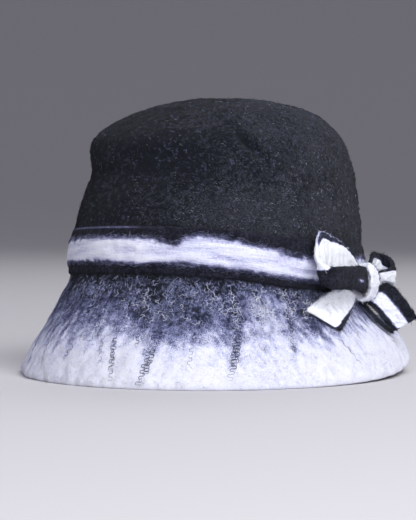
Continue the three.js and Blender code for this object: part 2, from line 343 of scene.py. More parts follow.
def rampNode(nodes, value, stops):
    node = nodes.new("ShaderNodeValToRGB")
    elements = node.color_ramp.elements
    while len(elements) < len(stops):
        elements.new(0.5)
    for element, (place, colour) in zip(elements, stops):
        element.position, element.color = place, (*colour, 1)
    nodes.id_data.links.new(value, node.inputs[0])
    return node.outputs[0]


def readValue(nodes, name):
    node = nodes.new("ShaderNodeAttribute")
    node.attribute_name = name
    return node.outputs["Fac"]


def addBump(nodes, shader, height, strength, distance):
    node = nodes.new("ShaderNodeBump")
    feedNode(nodes, node, (("Strength", strength), ("Distance", distance), ("Height", height)))
    nodes.id_data.links.new(node.outputs[0], shader.inputs["Normal"])


# Charcoal turns to white through slate and lavender. A grain is its fibres per metre, curl and thread width.
bodyFinish = {
    "tones": (
        (0.0, (0.0078, 0.0095, 0.0136)),
        (0.22, (0.016, 0.019, 0.037)),
        (0.42, (0.064, 0.072, 0.156)),
        (0.58, (0.24, 0.26, 0.47)),
        (0.72, (0.51, 0.53, 0.77)),
        (0.86, (0.725, 0.743, 0.895)),
        (1.0, (0.85, 0.862, 0.94)),
    ),
    "paleThread": (0.26, 0.285, 0.48),
    "darkThread": (0.012, 0.012, 0.03),
    "fleck": (0.095, 0.10, 0.125),
    "wool": (1150.0, 2.4, 0.03),
    "fineWool": (1150.0 * 1.7, 1.5, 0.035),
    "specks": (1150.0 * 2.4, 0.8, 0.035),
    "bump": (0.6, 0.0009),
}


# Felt of the body: whiteShare says how white a place is, paleShare and darkShare how many loose curls of the
# other colour lie on it, and fleckShare how many specks. The grain makes each of them uneven, and the white
# itself calmer.
def feltMaterial():
    material, nodes, shader = startMaterial("bodyFelt")
    place = nodes.new("ShaderNodeTexCoord").outputs["Object"]
    wool = placeGrain(nodes, place, *bodyFinish["wool"])
    fineWool = placeGrain(nodes, place, *bodyFinish["fineWool"])
    specks = placeGrain(nodes, place, *bodyFinish["specks"])
    curly = stepNode(nodes, wool["Fibre"], 0.28, 0.72)
    white = readValue(nodes, "whiteShare")
    uneven = sumNode(nodes, 0.0, (curly, 0.4), (wool["Patch"], 0.13), (fineWool["Patch"], 0.2))
    calm = minus(nodes, 1.0, times(nodes, stepNode(nodes, white, 0.55, 1.0), 0.5))
    tone = plus(nodes, white, times(nodes, uneven, calm))
    colour = rampNode(nodes, tone, bodyFinish["tones"])
    layers = (
        ("paleShare", wool["Thread"], fineWool["Patch"], "paleThread"),
        ("darkShare", fineWool["Thread"], wool["Patch"], "darkThread"),
        ("fleckShare", stepNode(nodes, specks["Fibre"], 0.45, 1.0), specks["Patch"], "fleck"),
    )
    for name, mask, spread, key in layers:
        here = stepNode(nodes, sumNode(nodes, readValue(nodes, name), (spread, 0.8)), 0.1, 0.9)
        colour = mixColour(nodes, times(nodes, mask, here), colour, bodyFinish[key])
    nodes.id_data.links.new(colour, shader.inputs["Base Color"])
    height = plus(nodes, times(nodes, wool["Height"], 0.5), times(nodes, fineWool["Height"], 0.3))
    height = plus(nodes, height, times(nodes, specks["Height"], 0.2))
    addBump(nodes, shader, height, *bodyFinish["bump"])
    return material


# Tones of the ribbon round the crown and, a little lighter as painted light, of the bow.
ribbonFinish = {
    "ribbonFelt": (
        (0.0, (0.0065, 0.0072, 0.0115)),
        (0.3, (0.019, 0.020, 0.034)),
        (0.5, (0.10, 0.105, 0.19)),
        (0.68, (0.40, 0.41, 0.62)),
        (0.86, (0.73, 0.745, 0.91)),
        (1.0, (0.87, 0.885, 0.975)),
    ),
    "bowFelt": (
        (0.0, (0.0085, 0.0095, 0.014)),
        (0.25, (0.024, 0.026, 0.042)),
        (0.5, (0.12, 0.127, 0.23)),
        (0.66, (0.45, 0.47, 0.72)),
        (0.82, (0.81, 0.835, 0.975)),
        (1.0, (0.925, 0.945, 1.0)),
    ),
    "paleThread": (0.09, 0.095, 0.15),
    "wool": (1300.0, 1.6, 0.03),
    "combed": (1500.0, 0.5, 0.03),
    "combing": (0.09, 1.0, 1.0),
    "bump": (0.55, 0.0008),
}


# Ribbon felt: whiteShare again, with a second grain drawn out along the ribbon's length, and pale threads
# where it is dark.
def ribbonMaterial(name):
    material, nodes, shader = startMaterial(name)
    place = nodes.new("ShaderNodeTexCoord").outputs["Object"]
    wool = placeGrain(nodes, place, *ribbonFinish["wool"])
    lengthwise = nodes.new("ShaderNodeUVMap")
    lengthwise.uv_map = "ribbonMap"
    stretch = nodes.new("ShaderNodeMapping")
    stretch.inputs["Scale"].default_value = ribbonFinish["combing"]
    nodes.id_data.links.new(lengthwise.outputs[0], stretch.inputs["Vector"])
    combed = placeGrain(nodes, stretch.outputs[0], *ribbonFinish["combed"])
    white = readValue(nodes, "whiteShare")
    tone = sumNode(nodes, white, (wool["Fibre"], 0.22), (combed["Fibre"], 0.14), (combed["Patch"], 0.13))
    dark = minus(nodes, 1.0, stepNode(nodes, tone, 0.2, 0.45))
    threads = times(nodes, times(nodes, wool["Thread"], dark), times(nodes, wool["Patch"], 0.5))
    colour = mixColour(nodes, threads, rampNode(nodes, tone, ribbonFinish[name]), ribbonFinish["paleThread"])
    nodes.id_data.links.new(colour, shader.inputs["Base Color"])
    height = plus(nodes, times(nodes, wool["Height"], 0.6), times(nodes, combed["Height"], 0.6))
    addBump(nodes, shader, height, *ribbonFinish["bump"])
    return material


# The darker and the lighter tone of each kind of single fibre.
fibreTones = {
    "paleFibre": ((0.09, 0.10, 0.21), (0.56, 0.60, 0.86)),
    "greyFibre": ((0.02, 0.022, 0.03), (0.25, 0.265, 0.33)),
    "darkFibre": ((0.014, 0.016, 0.036), (0.09, 0.098, 0.20)),
    "slateFibre": ((0.022, 0.025, 0.06), (0.10, 0.11, 0.225)),
    "whiteFibre": ((0.5, 0.52, 0.70), (0.86, 0.875, 0.95)),
    "charcoalFibre": ((0.010, 0.012, 0.017), (0.065, 0.07, 0.085)),
    "violetFibre": ((0.05, 0.052, 0.11), (0.30, 0.30, 0.46)),
}


# Single fibres go from darker to lighter with the patches of a coarse grain.
def fibreMaterial(name, darker, lighter):
    material, nodes, shader = startMaterial(name)
    place = nodes.new("ShaderNodeTexCoord").outputs["Object"]
    patch = placeGrain(nodes, place, 400.0, 0.5)["Patch"]
    nodes.id_data.links.new(mixColour(nodes, patch, darker, lighter), shader.inputs["Base Color"])
    return material


bodyFelt = feltMaterial()
ribbonFelt = ribbonMaterial("ribbonFelt")
bowFelt = ribbonMaterial("bowFelt")
fibreFelts = {name: fibreMaterial(name, *tones) for name, tones in fibreTones.items()}
print("materials ready")

# Where the felt is white: azimuth, level at which it is half white, height of the change. At azimuths 63
# and 69 the white starts lower: dark wool there, with a painted shadow of the front tail over it.
halfWhite = np.array([
    (-180, 31, 11), (-150, 33, 11), (-120, 30, 11), (-90, 30, 13), (-60, 32, 15), (-45, 32, 16),
    (-30, 32, 18), (-20, 32, 15), (-8, 35, 15), (0, 33.5, 12), (8, 29.5, 8), (15, 28, 9.5), (22, 28, 10),
    (30, 30, 11), (38, 33, 12.5), (44, 40, 20), (51, 45, 21), (58, 38, 15), (63, 29, 9), (69, 29.5, 10),
    (74, 33, 12), (85, 38, 13), (94, 40, 12), (104, 37, 12), (130, 31, 11), (160, 33, 11), (180, 31, 11),
], float)
# Dark streaks of crinkled wool that run down the brim: azimuth and level at the top, the same at the foot,
# width in mm and strength.
streaks = [
    (13.5, 42, 9.8, 4.5, 4.6, 0.75), (41, 47, 34.5, 6, 4.8, 0.6), (58.5, 45, 53.5, 10, 3.6, 0.6),
    (-2.5, 38, 0.5, 6, 2.4, 0.4), (-6, 28, -4, 13, 2.0, 0.3), (-14, 33, -20, 12, 1.9, 0.4),
    (-9.5, 38, -12, 14, 1.9, 0.3), (6, 36, 6.5, 12, 1.9, 0.3), (25, 38, 23, 12, 1.8, 0.22),
    (-26, 38, -27, 14, 1.9, 0.35), (-36, 36, -30, 6, 2.0, 0.35), (-48, 26, -40, 3, 1.8, 0.4),
    (74, 30, 78, 12, 1.8, 0.16), (84, 38, 86, 22, 1.9, 0.14), (104, 36, 108, 14, 2.0, 0.2),
    (124, 40, 128, 16, 2.6, 0.5), (147, 42, 143, 14, 4.0, 0.7), (171, 40, 175, 10, 4.2, 0.7),
    (196, 38, 193, 9, 2.4, 0.4), (214, 43, 219, 8, 4.6, 0.8), (241, 38, 238, 10, 2.4, 0.45),
    (262, 42, 266, 9, 3.8, 0.6), (284, 36, 280, 8, 2.2, 0.4),
]
feltTones = {
    "strands": 0.1, "streaks": 0.2, "crown": -0.4, "crownLeftPaintedLight": 0.24, "crownTopPaintedLight": 0.1, "crownFoot": 0.1,
    "pressed": 0.3,
}


# How deep a place lies in a streak: a bell across it, narrower towards its foot, that fades in and out at its
# ends and wanders with soft lumps.
def streakAt(azimuth, points):
    level = points[..., 2]
    shadow = np.zeros(level.shape)
    reach = np.hypot(points[..., 0], points[..., 1])
    wander = 1.2 * softLumps(points, 11, 31)
    for topAzimuth, topLevel, footAzimuth, footLevel, width, strength in streaks:
        share = (topLevel - level) / (topLevel - footLevel)
        middle = topAzimuth + (footAzimuth - topAzimuth) * np.clip(share, 0, 1)
        aside = np.radians(turnFrom(azimuth, middle)) * reach + wander
        fade = np.clip((1.15 - share) / 0.5, 0, 1) * np.clip((share + 0.3) / 0.3, 0, 1)
        narrowed = width * (1.1 - 0.5 * np.clip(share, 0, 1))
        shadow = np.maximum(shadow, strength * fade * bell(aside / narrowed))
    return shadow


# Painted shade in the crown's dents: 1 on open felt, down to 0.05 where a dent of the crown is 3.6 mm deep.
def unpressed(points, azimuth):
    return np.where(points[..., 2] > 100, np.clip(1 - dentDepth(points, azimuth) / 3.6, 0.05, 1), 1.0)


# White share falls as a smooth S with height about the half-white level, with strands drawn out down the
# brim, less the streaks. Above the brim it gives way to the crown's tone, with painted light on the wearer's
# left and on top, darker above the ribbon, and with painted shade in its dents.
def whiteShareAt(azimuth, points):
    turned = turnFrom(azimuth, 0)
    half = np.interp(turned, halfWhite[:, 0], halfWhite[:, 1]) + 1.6 * softLumps(points * (1, 1, 0.3), 16, 32)
    change = np.interp(turned, halfWhite[:, 0], halfWhite[:, 2])
    level = points[..., 2]
    share = 1 / (1 + np.exp((level - half) / (change * 0.55)))
    strands = softLumps(points * (1, 1, 0.22), 4.5, 33) * bell((share - 0.55) / 0.35)
    streaked = feltTones["streaks"] * streakAt(azimuth, points) * np.clip(share + 0.1, 0, 1)
    whitest = 0.95 - 0.08 * bell((turned - 46) / 13)
    share = 0.085 + whitest * share + feltTones["strands"] * strands - streaked
    # Painted light: the crown's tone is raised on its lit side at the wearer's front left and on its top.
    crown = feltTones["crown"] + feltTones["crownLeftPaintedLight"] * bell((turned - 70) / 60)
    crown = crown + feltTones["crownTopPaintedLight"] * smoothStep(level - 135, 0, 25)
    crown = crown - feltTones["crownFoot"] * bell((level - 92) / 20)
    # Painted shade: the crown's tone is darkened in its dents.
    crown = crown - feltTones["pressed"] * (1 - unpressed(points, azimuth))
    brim = smoothStep(62 - level, 0, 20 - 8 * bell((turned - 44) / 20))
    return np.clip(share * brim + crown * smoothStep(level - 56, 0, 12), -0.4, 1.05)


# The body: the outer face from the apex down, round the rim's lip and up the inner face. Each kind of lump is
# its height and its size.
bodyShape = {
    "round": 416, "spacing": 1.75, "lipRows": 12, "innerRows": 34, "footBelow": 1.3,
    "lumps": (0.26, 15), "fineLumps": (0.1, 5), "rimLumps": (0.6, 8), "ridges": (0.24, 9),
}


# Rows at even steps down the wall, by the length travelled along the sections' curve.
def evenRows(spacing):
    fine = np.linspace(0, rimRow - 0.12, 4000)
    line = alongTable(sections, fine)[:, :2]
    travelled = np.concatenate([[0], np.cumsum(np.linalg.norm(np.diff(line, axis=0), axis=1))])
    return np.interp(np.arange(1, int(travelled[-1] / spacing) + 1) * spacing, travelled, fine)


# The felt at a distance, raised by lumps everywhere, by more lumps at the rim and by level ridges on the
# crown. It stays calm at the apex and under the ribbon.
def bodyPoints(rows, azimuth, clear, rough):
    points = overFelt(rows, azimuth, clear)
    (lump, lumpSize), (fine, fineSize), (rim, rimSize), (ridge, ridgeSize) = (
        bodyShape[key] for key in ("lumps", "fineLumps", "rimLumps", "ridges"))
    raised = lump * softLumps(points, lumpSize, 11) + fine * softLumps(points, fineSize, 12)
    raised += rim * softLumps(points, rimSize, 13) * np.clip(rows - 15, 0, 1)
    raised += ridge * softLumps(points * (1, 1, 2.6), ridgeSize, 14) * smoothStep(points[..., 2] - 70, 0, 20)
    calm = np.clip(rows / 1.5, 0, 1) * (1 - 0.8 * bell((rows - 11) / 1.1))
    return points + outward(rows, azimuth) * (raised * rough * calm)[..., None]


# The lip: half an oval between the last outer row and the first inner row, down to the rim's underside.
def rimLip(outerEdge, innerEdge, azimuth):
    middle, across = (outerEdge + innerEdge) / 2, (outerEdge - innerEdge) / 2
    foot = feltBase(np.full(azimuth.shape, float(rimRow)), azimuth)[:, 2] - bodyShape["footBelow"]
    sweep = np.linspace(0, np.pi, bodyShape["lipRows"] + 2)[1:-1][:, None]
    bulge = 1 + 0.12 * np.sin(sweep)
    lip = middle + np.cos(sweep)[..., None] * across * bulge[..., None]
    lip[..., 2] = middle[:, 2] * (1 - np.sin(sweep) ** 0.75) + foot * np.sin(sweep) ** 0.75
    lip[..., 2] = np.maximum(lip[..., 2], foot)
    return lip


# What the felt's material reads: pale curls over the dark of the brim, dark ones in the streaks, and specks
# on the crown, thickest low in front.
def bodyValues(azimuth, points):
    share = whiteShareAt(azimuth, points)
    level, turned = points[:, 2], turnFrom(azimuth, 0)
    brim = smoothStep(66 - level, 0, 12)
    pale = 0.5 + 0.22 * softLumps(points, 22, 22) - 0.35 * bell((turned + 38) / 26)
    pale = brim * smoothStep(0.85 - share, 0, 0.35) * pale
    dark = 0.5 * streakAt(azimuth, points) + 0.3 * bell((share - 0.6) / 0.2)
    fleck = 0.08 + 0.55 * bell((turned - 80) / 58) + 0.4 * bell((turned - 36) / 34) * bell((level - 98) / 17)
    fleck = fleck + 0.1 * softLumps(points, 30, 21) + 0.12 * smoothStep(level - 140, 0, 25)
    # Painted shade: fewer specks in the crown's dents.
    fleck = (1 - brim) * unpressed(points, azimuth) * (fleck + 0.14 * bell((turned + 140) / 70))
    return {"whiteShare": share, "paleShare": pale, "darkShare": dark * brim, "fleckShare": fleck}


# The outer face and the inner face are grids of rows by azimuths, the wall apart and joined by the lip. Fans
# close both at the apex.
def buildBody():
    count = bodyShape["round"]
    azimuth = np.arange(count) * 360 / count
    rows = evenRows(bodyShape["spacing"])
    rowGrid, azimuthGrid = np.meshgrid(rows, azimuth, indexing="ij")
    outer = bodyPoints(rowGrid, azimuthGrid, np.zeros(rowGrid.shape), 1.0)
    innerRows = np.interp(np.linspace(1, 0, bodyShape["innerRows"]), np.linspace(0, 1, len(rows)), rows)
    innerGrid, innerAzimuth = np.meshgrid(innerRows, azimuth, indexing="ij")
    atRim = np.clip((innerGrid / rimRow - 0.9) / 0.1, 0, 1)
    thick = hatForm["wall"] + (hatForm["rimWall"] - hatForm["wall"]) * atRim
    inner = bodyPoints(innerGrid, innerAzimuth, -thick, 0.6)
    apex = feltBase(np.zeros(1), np.zeros(1))
    body = np.concatenate([outer, rimLip(outer[-1], inner[0], azimuth), inner])
    points = np.concatenate([apex, body.reshape(-1, 3), apex - (0, 0, hatForm["wall"])])
    total = body.shape[0]
    innerFan = fanFaces(len(points) - 1, 1 + (total - 1) * count, count, flip=True)
    faces = [gridFaces(total, count, 1), fanFaces(0, 1, count), innerFan]
    allAzimuth = np.concatenate([[0], np.tile(azimuth, total), [0]])
    makePiece("feltBody", points, faces, bodyFelt, ["felt_body"], bodyValues(allAzimuth, points))


buildBody()

# The ribbon round the crown: across it runs from the upper edge (0) to the lower edge (1). Its map is in
# metres, at the ribbon's mean reach and width.
bandShape = {
    "round": 640, "across": 34, "wall": 3.0, "gap": 0.3, "whiteGrows": 0.03, "reach": 95, "width": 28,
}
# azimuth, upper and lower edge of the white, as shares of the width
bandWhite = np.array([
    (-180, 0.28, 0.74), (-120, 0.27, 0.73), (-90, 0.29, 0.73), (-60, 0.30, 0.72), (-33, 0.285, 0.71),
    (-14, 0.26, 0.735), (1, 0.27, 0.75), (8, 0.30, 0.73), (13, 0.375, 0.72), (16, 0.36, 0.72),
    (19, 0.22, 0.725), (23, 0.16, 0.73), (33, 0.19, 0.75), (45, 0.27, 0.76), (55, 0.315, 0.755),
    (63, 0.355, 0.75), (80, 0.36, 0.76), (97, 0.34, 0.76), (115, 0.28, 0.74), (150, 0.30, 0.75),
    (180, 0.28, 0.74),
], float)
# place across, share of the full thickness: thin at the top edge, blunt at the foot
bandSection = np.array([
    (0, 0), (0.02, 0.3), (0.10, 0.45), (0.2, 0.6), (0.3, 0.9), (0.5, 1), (0.7, 1), (0.82, 0.85), (0.93, 0.78),
    (0.98, 0.5), (1, 0),
])


# The row of the felt at a place across the ribbon, in even shares from its top row to its foot row.
def bandRow(across):
    return ribbonTopRow + (ribbonFootRow - ribbonTopRow) * across


# The share of the full thickness, straight between the places of the section.
def bandThickness(across):
    return np.interp(across, bandSection[:, 0], bandSection[:, 1])


# White lies between its two ragged edges, with painted shade a little round the wearer's left and in the
# crease, and painted shade darkening its foot. A row of lilac runs along the upper edge in front.
def bandShare(a, turned, base, upper, lower, strands, crease):
    ragged = 0.018 * softLumps(base, 6, 43) + 0.012 * softLumps(base, 2.6, 44)
    share = np.minimum(a - upper, lower - a) / 0.15 + 0.5 + ragged * 5
    shaded = smoothStep(turned + 8, 0, 26) * (1 - smoothStep(turned - 110, 0, 40))
    share = np.clip(share, 0, 1) * (0.93 - 0.1 * shaded + 0.05 * strands - 0.1 * crease)
    # Painted shade: the foot, where the ribbon stands off the brim, is made darker.
    share = share - 0.3 * smoothStep(a, 0.82, 0.92)
    lilac = 0.5 * bell((a - 0.04) / 0.03) * np.clip((14 - turned) / 20, 0, 1)
    return np.maximum(share, lilac * np.clip((turned + 60) / 20, 0, 1))


# The band stands off the felt by its gap and its thickness at each place across. Strands are long ridges that
# run with it, from lumps stretched round the hat; it is fuller where it is white, and one slanting crease
# crosses its front, with painted shade in it.
def buildBand():
    count, steps, gap = bandShape["round"], bandShape["across"], bandShape["gap"]
    azimuth = np.arange(count) * 360 / count
    across = 0.5 - 0.5 * np.cos(np.linspace(0, np.pi, steps))
    a, z = np.meshgrid(across, azimuth, indexing="ij")
    base = overFelt(bandRow(a), z, np.zeros(a.shape))
    turned = turnFrom(z, 0)
    upper, lower = (np.interp(turned, bandWhite[:, 0], bandWhite[:, k]) for k in (1, 2))
    upper, lower = upper - bandShape["whiteGrows"], lower + bandShape["whiteGrows"]
    drawnOut = np.radians(z) * bandShape["reach"] * 0.10
    flat = np.stack([drawnOut, a * bandShape["width"], np.zeros(a.shape)], axis=-1)
    strands = softLumps(flat, 3.4, 41)
    rise = bandThickness(a)
    fuller = np.clip((a - upper + 0.05) / 0.1, 0, 1) * np.clip((lower + 0.05 - a) / 0.1, 0, 1)
    uneven = (0.22 * strands * fuller + 0.1 * softLumps(base, 7, 42)) * np.clip(rise * 2, 0, 1)
    crease = bell((a - 0.4 - 0.2 * (turned - 19) / 20) / 0.035) * bell((turned - 28) / 10)
    out = gap + bandShape["wall"] * rise * (0.86 + 0.14 * fuller) + uneven - 0.5 * crease
    front = overFelt(bandRow(a), z, np.maximum(out, gap))
    backAcross = a[1:-1][::-1]
    back = overFelt(bandRow(backAcross), z[1:-1], np.full(backAcross.shape, gap))
    share = bandShare(a, turned, base, upper, lower, strands, crease)
    shareAll = np.concatenate([share, np.zeros(backAcross.shape)])
    mapRound = np.radians(np.tile(azimuth, (2 * steps - 2, 1))) * (bandShape["reach"] * millimetre)
    mapAcross = np.concatenate([a, backAcross]) * (bandShape["width"] * millimetre)
    faces = [gridFaces(2 * steps - 2, count, closedRows=True)]
    makePiece("ribbonBand", np.concatenate([front, back]), faces, ribbonFelt, ["band"],
              values={"whiteShare": shareAll}, uv=np.stack([mapRound, mapAcross], axis=-1))


buildBand()

# Ribbon strips of the bow. Each row gives the upper and the lower edge of the ribbon as azimuth, level and
# distance off the felt, and its thickness; it becomes a middle, a side way, a width and that thickness.
def stripRows(rows):
    table = np.array(rows, float)
    upper, lower = besideFelt(*table[:, 0:3].T), besideFelt(*table[:, 3:6].T)
    side = upper - lower
    width = np.linalg.norm(side, axis=1)
    return np.column_stack([(upper + lower) / 2, side / width[:, None], width, table[:, 6]])


# An oval with blunt corners: cosine and sine raised to the power blunt, each with its sign.
def bluntOval(angle, blunt):
    c, s = np.cos(angle), np.sin(angle)
    return np.sign(c) * np.abs(c) ** blunt, np.sign(s) * np.abs(s) ** blunt


# Angles that space the corners evenly round the oval, by the length travelled round it.
def sectionAngles(corners, blunt, thin):
    fine = np.linspace(0, 2 * np.pi, 4001)
    x, y = bluntOval(fine, blunt)
    travelled = np.concatenate([[0], np.cumsum(np.hypot(np.diff(x), np.diff(thin * y)))])
    return -np.interp(np.arange(corners) / corners * travelled[-1], travelled, fine)


# A strip: the oval is carried along the path, kept in line with the edges, and shrinks to a round end. Gives
# points, and for each its place along (0 to 1), across (-1 lower to 1 upper) and facing (-1 to 1), then the
# ways that the strip faces and that its side points.
def stripGrid(table, steps, corners, closed=False, endRound=0.02, blunt=0.5):
    wrapped = np.vstack([table[-2:], table, table[:3]])
    if closed:
        t = np.arange(steps) / steps
    else:
        t = (1 - np.cos(np.linspace(0, np.pi, steps))) / 2 * 0.35 + np.linspace(0, 1, steps) * 0.65

    def stationAt(place):
        if closed:
            return alongTable(wrapped, place * len(table) + 2)
        return alongTable(table, np.clip(place, 0, 1) * (len(table) - 1))

    station = stationAt(t)
    middle, side = station[:, 0:3], unit(station[:, 3:6])
    width, wall = station[:, 6], station[:, 7]
    forward = unit(stationAt(t + 0.002)[:, 0:3] - stationAt(t - 0.002)[:, 0:3])
    face = unit(np.cross(forward, side))
    across, facing = bluntOval(sectionAngles(corners, blunt, np.mean(wall) / np.mean(width)), blunt)
    shrink = np.ones(steps)
    if not closed:
        ends = np.minimum(t, 1 - t) / endRound
        shrink = np.sqrt(np.clip(1 - (1 - np.clip(ends, 0.04, 1)) ** 2, 0.02, 1))
    wide = (width / 2)[:, None] - (1 - shrink[:, None]) * wall[:, None] / 2
    thick = wall[:, None] / 2 * shrink[:, None] * facing
    points = middle[:, None] + side[:, None] * (wide * across)[..., None] + face[:, None] * thick[..., None]
    along = np.repeat(t[:, None], corners, axis=1)
    acrossAll, facingAll = np.tile(across, (steps, 1)), np.tile(facing, (steps, 1))
    return points, along, acrossAll, facingAll, face[:, None], side[:, None]


# The strip's surface with its fuzz: soft lumps push it out along its facing and its side. Its map runs along
# in metres and across by half the mean width, and its white share is ragged. An open strip ends in two fans.
def stripMesh(grid, share, closed, extra, seed):
    points, _, across, facing, face, side = grid
    steps, corners = points.shape[:2]
    fuzz = 0.14 * softLumps(points, 2.6, seed) + 0.22 * softLumps(points, 8, seed + 1)
    points = points + face * (facing * fuzz + extra)[..., None] + side * (0.8 * across * fuzz)[..., None]
    stepLengths = np.linalg.norm(np.diff(points.mean(axis=1), axis=0), axis=1)
    length = np.concatenate([[0], np.cumsum(stepLengths)]) * millimetre
    uv = np.stack([np.repeat(length[:, None], corners, axis=1), across * bowShape["mapHalfWidth"]], axis=-1)
    uv = uv.reshape(-1, 2)
    ragged = share + 0.05 * softLumps(points, 3, seed + 2) + 0.035 * softLumps(points, 1.4, seed + 3)
    if closed:
        return points.reshape(-1, 3), [gridFaces(steps, corners, closedRows=True)], ragged.ravel(), uv
    flat = np.concatenate([points.reshape(-1, 3), [points[0].mean(axis=0), points[-1].mean(axis=0)]])
    values = np.concatenate([ragged.ravel(), [share[0].mean(), share[-1].mean()]])
    total = steps * corners
    lastFan = fanFaces(total + 1, total - corners, corners, flip=True)
    faces = [gridFaces(steps, corners), fanFaces(total, 0, corners), lastFan]
    return flat, faces, values, np.concatenate([uv, uv[:1], uv[-1:]])


# Painted light: the bow's white share goes above 1 so that its shaded whites stay at the top of the tones.
bowShape = {"steps": 200, "corners": 60, "white": 1.12, "mapHalfWidth": 0.013}
bowSurfaces = []  # each strip's grid and white share, for the stray fibres


# Puts one or more strips into a piece: each strip is its grid, white share, whether it closes, and a
# swelling.
def buildStrips(name, node, strips, seed):
    pointLists, faceLists, values, uvs, start = [], [], [], [], 0
    for grid, share, closed, extra in strips:
        flat, faces, value, uv = stripMesh(grid, share, closed, extra, seed)
        faceLists += [face + start for face in faces]
        start += len(flat)
        pointLists.append(flat)
        values.append(value)
        uvs.append(uv)
        bowSurfaces.append((grid, share))
    makePiece(name, np.concatenate(pointLists), faceLists, bowFelt, [node],
              values={"whiteShare": np.concatenate(values)}, uv=np.concatenate(uvs))


# upper azimuth, level, clear; lower azimuth, level, clear; wall
frontLoop = [
    (96.4, 63.2, 8.6, 96.4, 51.2, 8.6, 2.2), (92.6, 63.2, 8.6, 92.6, 51.6, 8.6, 2.2),
    (88.5, 72, 7.4, 88.5, 57, 7.2, 3), (81, 80.5, 6.8, 81, 59.5, 6.8, 3),
    (73, 86, 6.8, 74.5, 61, 6.8, 3), (67, 87.6, 8.6, 70, 61.5, 10, 3.2),
    (64.4, 77, 11.6, 67.3, 58.6, 13.2, 3.4), (66, 70, 14.8, 68.2, 56.6, 16, 4.2),
    (69, 68, 17.2, 70, 55, 17.2, 6.2), (78, 67.5, 16.4, 78, 54.2, 16.4, 7),
    (85.5, 67.3, 14.2, 85.5, 53.2, 14.2, 6.6), (89.6, 66, 12.9, 89.6, 51, 12.9, 5.2),
    (92.4, 62.8, 12, 92.4, 51.8, 12, 2.2), (96.4, 63, 12, 96.4, 51.4, 12, 2.2),
]


# The front half is all charcoal, the back half white with a thin dark upper margin. A low bell slants over
# the bar where the white peeks out, kept pink-grey as painted shade, and pleats run in to the knot.
def buildFrontLoop():
    grid = stripGrid(stripRows(frontLoop), 260, bowShape["corners"], blunt=0.62)
    points, along, across = grid[:3]
    level = points[..., 2]
    turn = np.degrees(np.arctan2(points[..., 0] - hatForm["middleX"], -points[..., 1]))
    barTop = 69 - 3 * np.clip((68 - turn) / 3, 0, 1) ** 2
    bar = smoothStep(along, 0.40, 0.43) * smoothStep(barTop - level, -1.0, 1.0)
    margin = smoothStep(across - 0.86 + 0.2 * smoothStep(level, 76, 86), -0.06, 0.06)
    margin = margin * smoothStep(0.46 - along, 0, 0.05)
    margin = margin * (0.82 - 0.4 * smoothStep(across, 0.95, 1.0))
    # Painted shade: where the white peeks out of the bar it is held at a pink-grey.
    peekInPaintedShade = (along > 0.6) * bell((turn - 83.8) / 3.2) * bell((level - 59 + 0.28 * (turn - 83.8)) / 1.3)
    share = bowShape["white"] * (1 - np.clip(bar + margin, 0, 1) * (1 - 0.64 * peekInPaintedShade))
    pleats = 0.22 * np.sin(across * 9) * bell((along - 0.1) / 0.1)
    buildStrips("bowLoopFront", "bow_loop_front", [(grid, share, False, pleats)], 51)


backLoop = [
    (97.8, 63, 8.6, 97.8, 51.4, 8.6, 2.2), (101.6, 63.2, 8.5, 101.6, 52.6, 8.5, 2.2),
    (106.5, 69.5, 7.4, 106.5, 55.5, 7.4, 3), (112.5, 73, 7.2, 112.5, 53, 7.2, 3),
    (118.5, 74, 8.6, 118.5, 52, 9, 3), (121.8, 73, 13, 122.2, 52.2, 14.5, 3),
    (119, 70.5, 18, 119.5, 53, 20, 3.2), (112.5, 66, 20.4, 112, 55.2, 21, 3.4),
    (107.5, 64.4, 18, 107.5, 56.6, 18.2, 3.2), (104.6, 63.2, 13.4, 104.6, 56.6, 13.4, 2.6),
    (102, 62.6, 12.1, 102, 53.8, 12.1, 2.2), (97.8, 62.8, 12, 97.8, 51.8, 12, 2.1),
]
# place along, how far up the white reaches
backLoopWhite = np.array([
    (0, 0.82), (0.25, 0.8), (0.38, 0.62), (0.5, 0.3), (0.6, 0.3), (0.68, 0.66), (1, 0.72),
])


# White below a dark upper margin, which is widest where the loop turns.
def buildBackLoop():
    grid = stripGrid(stripRows(backLoop), bowShape["steps"], bowShape["corners"])
    along, across = grid[1:3]
    margin = np.interp(along, backLoopWhite[:, 0], backLoopWhite[:, 1])
    share = bowShape["white"] * (1 - smoothStep(across - margin, -0.06, 0.08))
    buildStrips("bowLoopBack", "bow_loop_back", [(grid, share, False, 0)], 53)


frontTail = [
    (82.5, 55.4, 9, 90.8, 49.8, 7.6, 3), (77.2, 52.6, 7.2, 90.2, 44.8, 4.4, 3),
    (71, 48.2, 4, 85.6, 38.8, 2.8, 3), (64.6, 42.4, 2.2, 76.2, 29.8, 2.1, 3),
]


# White above a dark lower margin that widens to the end, and greyer where it faces straight out.
def buildFrontTail():
    grid = stripGrid(stripRows(frontTail), 120, bowShape["corners"], endRound=0.05)
    along, across, facing = grid[1:4]
    margin = 0.92 - 0.2 * smoothStep(along, 0.45, 1)
    outer = 0.25 + 0.75 * (facing < 0.93)
    share = bowShape["white"] * smoothStep(across + margin, -0.06, 0.08) * outer
    buildStrips("bowTailFront", "bow_tail_front", [(grid, share, False, 0)], 55)


backTail = [
    (103.4, 55.4, 17.6, 102.4, 44.8, 5.2, 3), (104.8, 54.8, 22.8, 103.2, 41.3, 6.2, 3),
    (106, 46.4, 23.2, 104.9, 33.7, 5.4, 3), (107.5, 34.8, 20.5, 107, 26.3, 4.6, 3),
]
